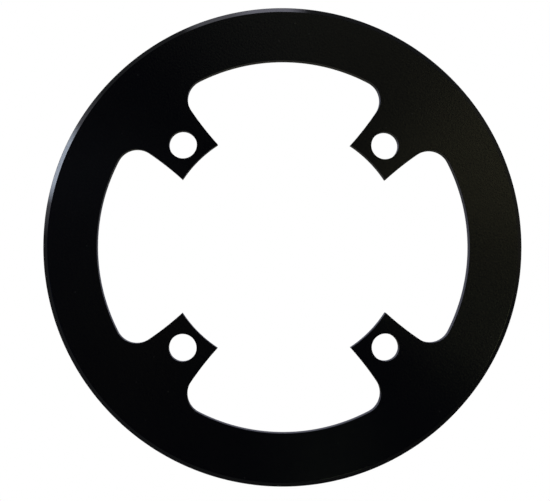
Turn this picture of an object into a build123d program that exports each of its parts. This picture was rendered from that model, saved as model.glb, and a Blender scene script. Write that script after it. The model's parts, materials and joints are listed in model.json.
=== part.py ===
from build123d import *

import os
from math import asin, degrees, sqrt

# Bicycle chain guard: a flat ring that bolts to a crank, beside the chainring.
# It lies on its back face, with the front face up and its centre at the origin.
# Lengths are in millimetres and angles in degrees.

# Rim
rim_diameter = 174.0
rim_width = 19.3  # from the outer edge in to the windows
thickness = 4.0
rim_chamfer_width = 1.6  # across the front face
rim_chamfer_depth = 0.75  # down the outer wall

# Bolt holes, on the standard circle of a four-arm crank
bolt_circle = 104.0
bolt_count = 4
bolt_hole = 10.0
first_bolt_angle = 45.0

# Lobes round the bolt holes
tip_wall = 2.9  # metal between a bolt hole and the tip of its lobe
side_wall = 4.8  # metal between a bolt hole and each flank
flank_radius = 110.0
waist_inset = 14.2  # from the bolt circle in to where the two flanks run parallel
root_radius = 7.6  # where a flank runs out into the rim

# Radii that follow from the sizes above
rim_radius = rim_diameter / 2
window_radius = rim_radius - rim_width
bolt_radius = bolt_circle / 2
hole_radius = bolt_hole / 2
tip_radius = bolt_radius - hole_radius - tip_wall

# Flank of a lobe that points along X: an arc, nearest to the lobe's middle line at the waist
waist_x = bolt_radius - waist_inset
flank_rise = flank_radius - sqrt(flank_radius**2 - waist_inset**2)
waist_half_width = hole_radius + side_wall - flank_rise
lobe_end_x = rim_radius - rim_width / 2
flank_sweep = degrees(asin((lobe_end_x - waist_x) / flank_radius))

with BuildPart() as chain_guard:
    # Lobe along X, parallel as far as its waist and then widening out to the middle of the rim
    with BuildSketch(mode=Mode.PRIVATE) as lobe:
        with BuildLine():
            Polyline((0, 0), (0, waist_half_width), (waist_x, waist_half_width))
            flank = CenterArc((waist_x, waist_half_width + flank_radius), flank_radius, 270, flank_sweep)
            Line(flank @ 1, (lobe_end_x, 0))
            mirror(about=Plane.XZ)
        make_face()

    # Ring with the lobes, trimmed at their tips and rounded where they run into the rim
    with BuildSketch() as plate:
        Circle(rim_radius)
        Circle(window_radius, mode=Mode.SUBTRACT)
        with PolarLocations(0, bolt_count, start_angle=first_bolt_angle):
            add(lobe.sketch)
        Circle(tip_radius, mode=Mode.SUBTRACT)
        roots = plate.vertices().group_by(SortBy.DISTANCE)[-2]
        fillet(roots, root_radius)
    extrude(amount=thickness)

    # Wide chamfer round the front of the rim
    front = chain_guard.faces().sort_by(Axis.Z)[-1]
    chamfer(front.outer_wire().edges(), rim_chamfer_width, rim_chamfer_depth, reference=front)

    with PolarLocations(bolt_radius, bolt_count, start_angle=first_bolt_angle):
        Hole(hole_radius)

chain_guard.part.label = "chain_guard"
os.makedirs("parts", exist_ok=True)
export_step(chain_guard.part, "parts/chain_guard.step")
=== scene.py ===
import json
from math import acos, atan2, cos, pi, radians, sin, sqrt, tan, tau

import bmesh
import bpy
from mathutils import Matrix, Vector


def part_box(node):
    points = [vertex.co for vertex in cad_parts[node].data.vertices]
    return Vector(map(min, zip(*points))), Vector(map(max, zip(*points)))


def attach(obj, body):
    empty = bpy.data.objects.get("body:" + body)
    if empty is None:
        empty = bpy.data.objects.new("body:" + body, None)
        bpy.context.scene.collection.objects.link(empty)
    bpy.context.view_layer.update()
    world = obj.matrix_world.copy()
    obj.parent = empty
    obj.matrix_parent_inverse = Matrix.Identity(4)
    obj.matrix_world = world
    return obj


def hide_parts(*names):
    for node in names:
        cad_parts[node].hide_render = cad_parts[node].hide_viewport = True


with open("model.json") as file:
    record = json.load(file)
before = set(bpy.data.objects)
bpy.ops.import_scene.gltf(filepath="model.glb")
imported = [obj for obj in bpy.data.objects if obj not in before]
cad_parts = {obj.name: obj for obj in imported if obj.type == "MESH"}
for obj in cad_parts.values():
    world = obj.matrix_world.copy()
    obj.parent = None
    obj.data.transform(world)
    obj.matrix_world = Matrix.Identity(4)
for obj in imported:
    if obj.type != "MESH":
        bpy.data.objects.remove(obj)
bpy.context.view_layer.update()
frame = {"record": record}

MILLIMETRE = 0.001

# Sizes of the guard, in metres. The rim, thickness and bolt holes come from the frame.
guard_low, guard_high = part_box("chain_guard")
RIM_RADIUS = max(guard_high.x, guard_high.y)
THICKNESS = guard_high.z
BOLTS = next(m["dims"] for m in frame["record"]["mounts"] if m["name"] == "crank_bolts")
BOLT_COUNT = BOLTS["count"]
BOLT_RADIUS = BOLTS["pcd_mm"] * MILLIMETRE / 2
HOLE_RADIUS = BOLTS["hole_r_mm"] * MILLIMETRE
FIRST_BOLT_ANGLE = radians(45)
RIM_WIDTH = 0.0193
RIM_CHAMFER_WIDTH = 0.0016
RIM_CHAMFER_DEPTH = 0.00075
TIP_WALL = 0.0029
SIDE_WALL = 0.0048
FLANK_RADIUS = 0.110
WAIST_INSET = 0.0142
ROOT_RADIUS = 0.0076

# Radii and places that follow from the sizes above
WINDOW_RADIUS = RIM_RADIUS - RIM_WIDTH
TIP_RADIUS = BOLT_RADIUS - HOLE_RADIUS - TIP_WALL
FLANK_RISE = FLANK_RADIUS - sqrt(FLANK_RADIUS**2 - WAIST_INSET**2)
FLANK_CENTRE = Vector((BOLT_RADIUS - WAIST_INSET, HOLE_RADIUS + SIDE_WALL - FLANK_RISE + FLANK_RADIUS))

# Softened edges, in metres, and how finely the mesh follows the outline
EDGE_SOFTNESS = 0.00008  # from a corner to where its rounding starts
EDGE_HOLD = 0.00016  # from a corner to where the shading is flat
FLAT_MARGIN = 0.0004  # from a wall to where its flat face starts
EDGE_STEPS = 4
RIM_STEPS = 720
HOLE_STEPS = 120
TIP_STEPS = 16
FLANK_STEPS = 24
ROOT_STEPS = 24
WINDOW_STEPS = 40

# Finish of the metal: its colours and where they lie in the mottling
DEEP_BLACK = (0.0003, 0.0005, 0.0010, 1)
WORN_BLACK = (0.0008, 0.0010, 0.0014, 1)
DUST_GREY = (0.035, 0.035, 0.033, 1)
DEEP_BLACK_AT = 0.35
WORN_BLACK_AT = 0.65

# Gloss of the metal. A zone starts where the surface's normal reaches this far up or down.
COATING_IOR = 1.5
WALL_ROUGHNESS = 0.36
CHAMFER_ROUGHNESS = 0.09
FACE_ROUGHNESS = 0.318
CHAMFER_ZONE = 0.6
FACE_ZONE = 0.97
UNEVENNESS = 0.14  # how strongly the lines and the mottling each vary the roughness
TURNED_ANISOTROPY = 0.72
TURNED_ROTATION = 0.25  # a quarter turn, so that light spreads across the turned lines

# Marks on the metal, in metres, and the detail of their noise
MOTTLE_SIZE = 0.022
MOTTLE_DETAIL = 3
LINE_SPACING = 0.0007
LINE_DETAIL = 3
LINE_DEPTH = 0.0000012
GRAIN_SIZE = 0.0008
GRAIN_DETAIL = 2
FACE_GRAIN_DEPTH = 0.000038
EDGE_GRAIN_DEPTH = 0.000003
FLECK_SPACING = 0.006
FLECK_RADIUS = 0.00025

# The photograph's frame, and where its camera stood over the front face, in metres
IMAGE_WIDTH = 550
METRES_PER_PIXEL = 0.0003626
CAMERA_HEIGHT = 0.400
CAMERA_PLACE = Vector((-0.0180, -0.0110))
CAMERA_AIM = Vector((-0.0034, -0.0016))
SENSOR_WIDTH_MM = 36

# Floor and backdrop of the studio, in metres
FLOOR_RADIUS = 5.0
FLOOR_GAP = 0.0001
FLOOR_STEPS = 64
BACKDROP_CURVE = 1.5
BACKDROP_HEIGHT = 5.0
BACKDROP_STEPS = 8
WHITE = (1, 1, 1, 1)

# What the metal mirrors: a table below, and above it the horizon, a glow and a dome.
# Starts, ends and the blends at the edges of the pale sides are parts of a direction of length 1.
TABLE_DIM = (0.12, 0.115, 0.09, 1)
TABLE_PALE = (0.50, 0.51, 0.66, 1)
TABLE_SIDE = radians(95)
TABLE_BLEND = 0.166
HORIZON_COLOUR = (0.30, 0.30, 0.31, 1)
GLOW_DIM = (0.06, 0.06, 0.06, 1)
GLOW_PALE = (0.25, 0.26, 0.28, 1)
GLOW_SIDE = radians(150)
GLOW_BLEND = 1
GLOW_START = 0.36
GLOW_END = 0.50
DOME_COLOUR = (0.000, 0.000, 0.022, 1)
DOME_START = 0.58

# Soft boxes: azimuth, elevation, width and height in degrees, and colour, as add_softbox explains them.
# The first six light the face and the others the chamfer.
LIGHT_DISTANCE = 2.0
END_SOFTNESS = 0.5  # share of a box over which it fades out at its two ends
SOFT_BOXES = {
    "warm_key": (20, 57, 20, 14, (1.70, 1.62, 0.88)),
    "upper_fill": (58, 66, 22, 12, (0.40, 0.40, 0.26)),
    "top_fill": (88.5, 66, 17, 12, (0.26, 0.27, 0.19)),
    "right_fill": (342, 46, 12, 16, (2.15, 2.25, 1.25)),
    "left_fill": (184, 48, 26, 10, (0.01, 0.05, 0.24)),
    "lower_fill": (288, 48, 7, 14, (1.35, 1.65, 0.95)),
    "top_box": (90.8, 26, 12.5, 6, (2.8, 2.8, 3.4)),
    "top_tail": (104, 26, 11, 6, (1.4, 1.4, 1.6)),
    "left_box": (156.3, 29.3, 26, 4.5, (1.3, 1.3, 1.5)),
    "left_core": (157, 29.3, 14, 4.5, (7.0, 8.1, 9.8)),
    "right_low": (17, 25, 46, 6, (0.12, 0.11, 0.07)),
}


def polar(radius, angle):
    """Point at a distance and an angle from the origin."""
    return Vector((radius * cos(angle), radius * sin(angle)))


def arc(centre, radius, start, end, steps):
    """Points of an arc from one angle to another, without its last point."""
    return [centre + polar(radius, start + (end - start) * i / steps) for i in range(steps)]


def circle(radius, steps, centre=Vector((0, 0))):
    """Points once round a circle."""
    return arc(centre, radius, 0, tau, steps)


def angle_of(vector):
    """Direction of a vector in the plane."""
    return atan2(vector.y, vector.x)


def meeting_angle(radius, flank_radius):
    """Where a circle about the origin meets a circle about the centre of a lobe's flank."""
    reach = FLANK_CENTRE.length
    opening = acos((radius**2 + reach**2 - flank_radius**2) / (2 * radius * reach))
    return angle_of(FLANK_CENTRE) - opening


def half_window(inset):
    """Edge of the opening from the middle of a lobe's tip, along X, to the middle of the next window.

    Every arc has its centre in the opening, so an inset into the metal only adds to its radius.
    """
    origin = Vector((0, 0))
    tip = TIP_RADIUS + inset
    flank = FLANK_RADIUS + inset
    root = ROOT_RADIUS + inset
    window = WINDOW_RADIUS + inset
    tip_end = meeting_angle(tip, flank)
    root_angle = meeting_angle(window - root, flank - root)
    root_centre = polar(window - root, root_angle)
    flank_start = angle_of(polar(tip, tip_end) - FLANK_CENTRE)
    flank_end = angle_of(root_centre - FLANK_CENTRE)
    return (
        arc(origin, tip, 0, tip_end, TIP_STEPS)
        + arc(FLANK_CENTRE, flank, flank_start, flank_end, FLANK_STEPS)
        + arc(root_centre, root, flank_end, root_angle, ROOT_STEPS)
        + arc(origin, window, root_angle, pi / BOLT_COUNT, WINDOW_STEPS)
        + [polar(window, pi / BOLT_COUNT)]
    )


def turned(point, angle):
    """A point turned about the origin."""
    return polar(point.length, angle_of(point) + angle)


def opening_outline(inset):
    """Edge of the whole opening, once round."""
    there = half_window(inset)
    back = [Vector((p.x, -p.y)) for p in reversed(there)]
    points = []
    for i in range(BOLT_COUNT):
        angle = FIRST_BOLT_ANGLE + tau * i / BOLT_COUNT
        points += [turned(p, angle) for p in there[:-1]]
        points += [turned(p, angle + tau / BOLT_COUNT) for p in back[:-1]]
    return points


def rim_outline(inset):
    """Outer edge of the rim."""
    return circle(RIM_RADIUS - inset, RIM_STEPS)


def hole_outline(index):
    """Edge of one bolt hole, as a function of the inset into the metal round it."""
    centre = polar(BOLT_RADIUS, FIRST_BOLT_ANGLE + tau * index / BOLT_COUNT)
    return lambda inset: circle(HOLE_RADIUS + inset, HOLE_STEPS, centre)


def softened(corners):
    """A section's line with each inner corner rounded by a small curve.

    A point on each side of the curve keeps the shading flat up to it.
    """
    line = [corners[0]]
    for before, corner, after in zip(corners, corners[1:], corners[2:]):
        back = (before - corner).normalized()
        ahead = (after - corner).normalized()
        start = corner + back * EDGE_SOFTNESS
        end = corner + ahead * EDGE_SOFTNESS
        line.append(corner + back * EDGE_HOLD)
        for i in range(EDGE_STEPS + 1):
            t = i / EDGE_STEPS
            line.append(start.lerp(corner, t).lerp(corner.lerp(end, t), t))
        line.append(corner + ahead * EDGE_HOLD)
    return line + [corners[-1]]


def edge_section(chamfer_width=0, chamfer_depth=0):
    """Line across a wall from the back face to the front face, as insets and heights."""
    corners = [(FLAT_MARGIN, 0), (0, 0)]
    if chamfer_depth:
        corners += [(0, THICKNESS - chamfer_depth)]
    corners += [(chamfer_width, THICKNESS), (chamfer_width + FLAT_MARGIN, THICKNESS)]
    return softened([Vector(c) for c in corners])


def add_wall(surface, outline, section):
    """Adds a wall that follows an outline, with the same section all along it."""
    loops = []
    for inset, height in section:
        loops.append([surface.verts.new((p.x, p.y, height)) for p in outline(inset)])
    for low, high in zip(loops, loops[1:]):
        for i in range(len(low)):
            surface.faces.new((low[i - 1], low[i], high[i], high[i - 1]))


def add_flat(surface, height):
    """Closes the walls with a flat face at the height of their open edges."""
    edges = [e for e in surface.edges if e.is_boundary and all(v.co.z == height for v in e.verts)]
    bmesh.ops.triangle_fill(surface, use_beauty=True, edges=edges, normal=(0, 0, 1))


def close_ends(surface):
    """Closes the walls with flat faces at their top and bottom, and turns all faces outwards."""
    add_flat(surface, max(v.co.z for v in surface.verts))
    add_flat(surface, min(v.co.z for v in surface.verts))
    bmesh.ops.recalc_face_normals(surface, faces=surface.faces)


def make_object(name, surface, material):
    """An object in the scene made from a finished surface."""
    mesh = bpy.data.meshes.new(name)
    surface.to_mesh(mesh)
    surface.free()
    mesh.materials.append(material)
    made = bpy.data.objects.new(name, mesh)
    bpy.context.scene.collection.objects.link(made)
    return made


def make_guard(material):
    """The guard as one closed mesh with softened edges."""
    surface = bmesh.new()
    add_wall(surface, rim_outline, edge_section(RIM_CHAMFER_WIDTH, RIM_CHAMFER_DEPTH))
    add_wall(surface, opening_outline, edge_section())
    for i in range(BOLT_COUNT):
        add_wall(surface, hole_outline(i), edge_section())
    close_ends(surface)
    guard = make_object("guard_ring", surface, material)
    guard.data.shade_smooth()
    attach(guard, "root")
    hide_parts("chain_guard")


def add_node(tree, kind, inputs=None, **settings):
    """A shader node with its settings made, and each input set to a value or linked to a socket."""
    node = tree.nodes.new(kind)
    for name, value in settings.items():
        setattr(node, name, value)
    for name, value in (inputs or {}).items():
        if isinstance(value, bpy.types.NodeSocket):
            tree.links.new(value, node.inputs[name])
        else:
            node.inputs[name].default_value = value
    return node


def add_math(tree, operation, *values):
    """Output of a maths node."""
    return add_node(tree, "ShaderNodeMath", dict(enumerate(values)), operation=operation).outputs[0]


def add_noise(tree, size, detail, **place):
    """Output of a noise whose patches are about one size across."""
    inputs = {**place, "Scale": 1 / size, "Detail": detail}
    dimensions = "1D" if "W" in place else "3D"
    return add_node(tree, "ShaderNodeTexNoise", inputs, noise_dimensions=dimensions).outputs["Fac"]


def add_ramp(tree, factor, stops, interpolation="LINEAR"):
    """Output of a colour ramp with stops that are each a place and a colour."""
    node = add_node(tree, "ShaderNodeValToRGB", {"Fac": factor})
    ramp = node.color_ramp
    ramp.interpolation = interpolation
    while len(ramp.elements) < len(stops):
        ramp.elements.new(1)
    for element, (place, colour) in zip(ramp.elements, stops):
        element.position = place
        element.color = colour
    return node.outputs["Color"]


def add_mix(tree, factor, first, second):
    """Output of a mix of two colours, each a value or a socket.

    The node has several sockets with one name, so they are found by identifier.
    """
    inputs = {"Factor_Float": factor, "A_Color": first, "B_Color": second}
    node = add_node(tree, "ShaderNodeMix", data_type="RGBA")
    for socket in node.inputs:
        value = inputs.get(socket.identifier)
        if isinstance(value, bpy.types.NodeSocket):
            tree.links.new(value, socket)
        elif value is not None:
            socket.default_value = value
    return next(s for s in node.outputs if s.identifier == "Result_Color")


def add_rise(tree, value, start, end):
    """Output that goes from 0 to 1 while a value goes from one bound to another."""
    inputs = {"Value": value, "From Min": start, "From Max": end}
    return add_node(tree, "ShaderNodeMapRange", inputs).outputs["Result"]


def add_facing(tree, direction, azimuth, blend):
    """Output that is 0 away from an azimuth and 1 towards it, with a blend on both sides of the middle."""
    towards = (*polar(1, azimuth), 0)
    across = add_node(tree, "ShaderNodeVectorMath", {0: direction, 1: towards}, operation="DOT_PRODUCT")
    return add_rise(tree, across.outputs["Value"], -blend, blend)


def grey(value):
    """A grey as a colour."""
    return (value, value, value, 1)


def make_anodised():
    """Satin black anodising on a turned face: fine rings, soft grain, faint mottling and specks of dust."""
    material = bpy.data.materials.new("black_anodised")
    material.use_nodes = True
    tree = material.node_tree
    shader = tree.nodes["Principled BSDF"]
    shader.inputs["IOR"].default_value = COATING_IOR
    shader.inputs["Anisotropic"].default_value = TURNED_ANISOTROPY
    shader.inputs["Anisotropic Rotation"].default_value = TURNED_ROTATION
    tangent = add_node(tree, "ShaderNodeTangent", direction_type="RADIAL", axis="Z")
    tree.links.new(tangent.outputs["Tangent"], shader.inputs["Tangent"])

    place = add_node(tree, "ShaderNodeTexCoord").outputs["Object"]
    flat = add_node(tree, "ShaderNodeVectorMath", {0: place, 1: (1, 1, 0)}, operation="MULTIPLY")
    radius = add_node(tree, "ShaderNodeVectorMath", {0: flat.outputs["Vector"]}, operation="LENGTH")
    lines = add_noise(tree, LINE_SPACING, LINE_DETAIL, W=radius.outputs["Value"])
    grain = add_noise(tree, GRAIN_SIZE, GRAIN_DETAIL, Vector=place)
    mottle = add_noise(tree, MOTTLE_SIZE, MOTTLE_DETAIL, Vector=place)
    cells = add_node(tree, "ShaderNodeTexVoronoi", {"Vector": place, "Scale": 1 / FLECK_SPACING})
    fleck_edge = FLECK_RADIUS / FLECK_SPACING
    flecks = add_math(tree, "LESS_THAN", cells.outputs["Distance"], fleck_edge)

    black = add_ramp(tree, mottle, [(DEEP_BLACK_AT, DEEP_BLACK), (WORN_BLACK_AT, WORN_BLACK)])
    tree.links.new(add_mix(tree, flecks, black, DUST_GREY), shader.inputs["Base Color"])

    normal = add_node(tree, "ShaderNodeNewGeometry").outputs["Normal"]
    tilt = add_node(tree, "ShaderNodeSeparateXYZ", {"Vector": normal}).outputs["Z"]
    slope = add_math(tree, "ABSOLUTE", tilt)
    zones = [
        (0, grey(WALL_ROUGHNESS)),
        (CHAMFER_ZONE, grey(CHAMFER_ROUGHNESS)),
        (FACE_ZONE, grey(FACE_ROUGHNESS)),
    ]
    zone = add_ramp(tree, slope, zones, "CONSTANT")
    uneven = add_math(tree, "MULTIPLY_ADD", lines, UNEVENNESS, 1 - UNEVENNESS)
    patchy = add_math(tree, "MULTIPLY_ADD", mottle, UNEVENNESS, uneven)
    tree.links.new(add_math(tree, "MULTIPLY", zone, patchy), shader.inputs["Roughness"])

    rings = add_math(tree, "MULTIPLY", lines, LINE_DEPTH)
    face = add_math(tree, "GREATER_THAN", slope, FACE_ZONE)
    grain_depth = add_math(tree, "MULTIPLY_ADD", face, FACE_GRAIN_DEPTH, EDGE_GRAIN_DEPTH)
    height = add_math(tree, "MULTIPLY_ADD", grain, grain_depth, rings)
    bump = add_node(tree, "ShaderNodeBump", {"Height": height, "Strength": 1, "Distance": 1})
    tree.links.new(bump.outputs["Normal"], shader.inputs["Normal"])
    return material


def make_floor():
    """A plain white floor that curves up into a backdrop all round, and a white ceiling.

    They show from inside and to the camera alone, so that the metal reflects the dark studio.
    """
    material = bpy.data.materials.new("white_floor")
    material.use_nodes = True
    tree = material.node_tree
    white = add_node(tree, "ShaderNodeEmission", {"Color": WHITE})
    clear = add_node(tree, "ShaderNodeBsdfTransparent")
    behind = add_node(tree, "ShaderNodeNewGeometry").outputs["Backfacing"]
    faces = {0: behind, 1: white.outputs["Emission"], 2: clear.outputs["BSDF"]}
    mix = add_node(tree, "ShaderNodeMixShader", faces)
    tree.links.new(mix.outputs["Shader"], tree.nodes["Material Output"].inputs["Surface"])

    surface = bmesh.new()
    low = guard_low.z - FLOOR_GAP
    bend = Vector((BACKDROP_CURVE, low + BACKDROP_CURVE))
    curve = arc(bend, BACKDROP_CURVE, -pi / 2, -pi, BACKDROP_STEPS)
    section = curve + [Vector((0, BACKDROP_HEIGHT))]
    add_wall(surface, lambda inset: circle(FLOOR_RADIUS - inset, FLOOR_STEPS), section)
    close_ends(surface)
    bmesh.ops.reverse_faces(surface, faces=surface.faces)
    floor = make_object("floor", surface, material)
    floor.visible_glossy = False
    floor.visible_diffuse = False
    floor.visible_shadow = False


def make_world():
    """A dark studio: a table below, and above it the horizon, a glow and the dome."""
    world = bpy.data.worlds.new("studio")
    bpy.context.scene.world = world
    world.use_nodes = True
    tree = world.node_tree
    direction = add_node(tree, "ShaderNodeTexCoord").outputs["Generated"]
    table = add_mix(tree, add_facing(tree, direction, TABLE_SIDE, TABLE_BLEND), TABLE_DIM, TABLE_PALE)
    glow = add_mix(tree, add_facing(tree, direction, GLOW_SIDE, GLOW_BLEND), GLOW_DIM, GLOW_PALE)
    height = add_node(tree, "ShaderNodeSeparateXYZ", {"Vector": direction}).outputs["Z"]
    above = add_mix(tree, add_rise(tree, height, 0, GLOW_START), HORIZON_COLOUR, glow)
    above = add_mix(tree, add_rise(tree, height, GLOW_END, DOME_START), above, DOME_COLOUR)
    colour = add_mix(tree, add_math(tree, "GREATER_THAN", height, 0), table, above)
    tree.links.new(colour, tree.nodes["Background"].inputs["Color"])


def add_softbox(name, azimuth, elevation, width, height, colour):
    """A soft rectangular light that faces the guard and fades out towards its two ends.

    Azimuth is counted from +X towards +Y. The width, at half strength, and the height are as seen from the
    guard, in degrees, and the colour is as bright as the middle of the box looks.
    """
    radiance = max(colour)
    light = bpy.data.lights.new(name, "AREA")
    light.shape = "RECTANGLE"
    light.size = 2 * LIGHT_DISTANCE * tan(radians(width / 2)) / (1 - END_SOFTNESS / 2)
    light.size_y = 2 * LIGHT_DISTANCE * tan(radians(height / 2))
    light.energy = radiance * pi * light.size * light.size_y
    light.color = [c / radiance for c in colour]
    light.use_nodes = True
    tree = light.node_tree
    place = add_node(tree, "ShaderNodeNewGeometry").outputs["Parametric"]
    along = add_node(tree, "ShaderNodeSeparateXYZ", {"Vector": place}).outputs["X"]
    from_middle = add_math(tree, "ABSOLUTE", add_math(tree, "MULTIPLY_ADD", along, 2, -1))
    strength = add_rise(tree, from_middle, 1, 1 - END_SOFTNESS)
    tree.links.new(strength, tree.nodes["Emission"].inputs["Strength"])
    box = bpy.data.objects.new(name, light)
    flat = polar(LIGHT_DISTANCE * cos(radians(elevation)), radians(azimuth))
    box.location = (flat.x, flat.y, LIGHT_DISTANCE * sin(radians(elevation)))
    box.rotation_euler = Vector(box.location).to_track_quat("Z", "Y").to_euler()
    box.visible_camera = False
    bpy.context.scene.collection.objects.link(box)


def make_camera():
    """A camera above the guard, a little left of and below its middle, framed as in the photograph."""
    camera = bpy.data.cameras.new("camera")
    camera.sensor_width = SENSOR_WIDTH_MM
    offset = CAMERA_AIM - CAMERA_PLACE
    reach = sqrt(CAMERA_HEIGHT**2 + offset.length_squared)
    camera.lens = SENSOR_WIDTH_MM * reach / (IMAGE_WIDTH * METRES_PER_PIXEL)
    eye = bpy.data.objects.new("camera", camera)
    eye.location = (*CAMERA_PLACE, THICKNESS + CAMERA_HEIGHT)
    eye.rotation_euler = (atan2(offset.y, CAMERA_HEIGHT), -atan2(offset.x, CAMERA_HEIGHT), 0)
    bpy.context.scene.collection.objects.link(eye)
    bpy.context.scene.camera = eye


make_guard(make_anodised())
make_floor()
make_world()
for box_name, box in SOFT_BOXES.items():
    add_softbox(box_name, *box)
make_camera()
bpy.context.scene.view_settings.view_transform = "Standard"
